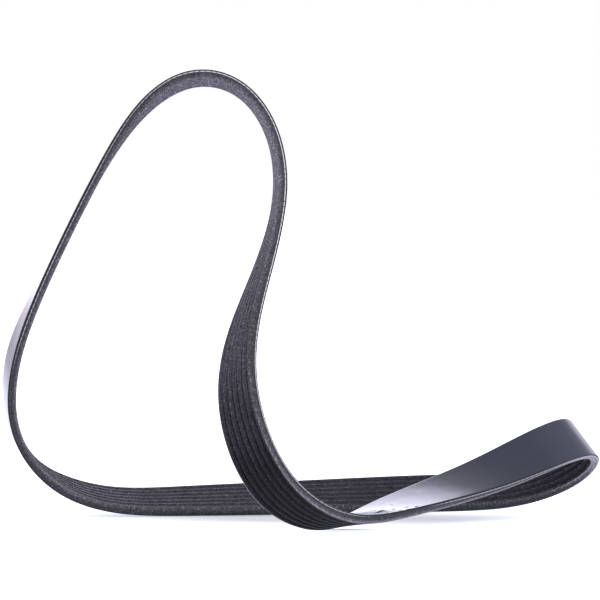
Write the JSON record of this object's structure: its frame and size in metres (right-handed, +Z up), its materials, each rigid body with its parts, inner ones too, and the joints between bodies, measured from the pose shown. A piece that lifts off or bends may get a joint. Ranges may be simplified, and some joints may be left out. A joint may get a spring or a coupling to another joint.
{
  "type": "serpentine belt",
  "caption": "Endless multi-rib rubber drive belt lying loose: smooth back, lengthwise V ribs inside, one tall arched loop and a low side loop with one turnover.",
  "frame": {"origin": "on the floor, under the middle of the belt's bounding box", "axes": "+X along the back run that lies on the floor, towards the side loop; +Y away from the viewer, from the turnover to the back run; +Z up"},
  "size_m": [0.2958, 0.1578, 0.2191],
  "materials": {
    "rubber": "matte ribs and cut sides, satin smooth back"
  },
  "bodies": {
    "root": {"belt": "rubber"}
  },
  "joints": []
}
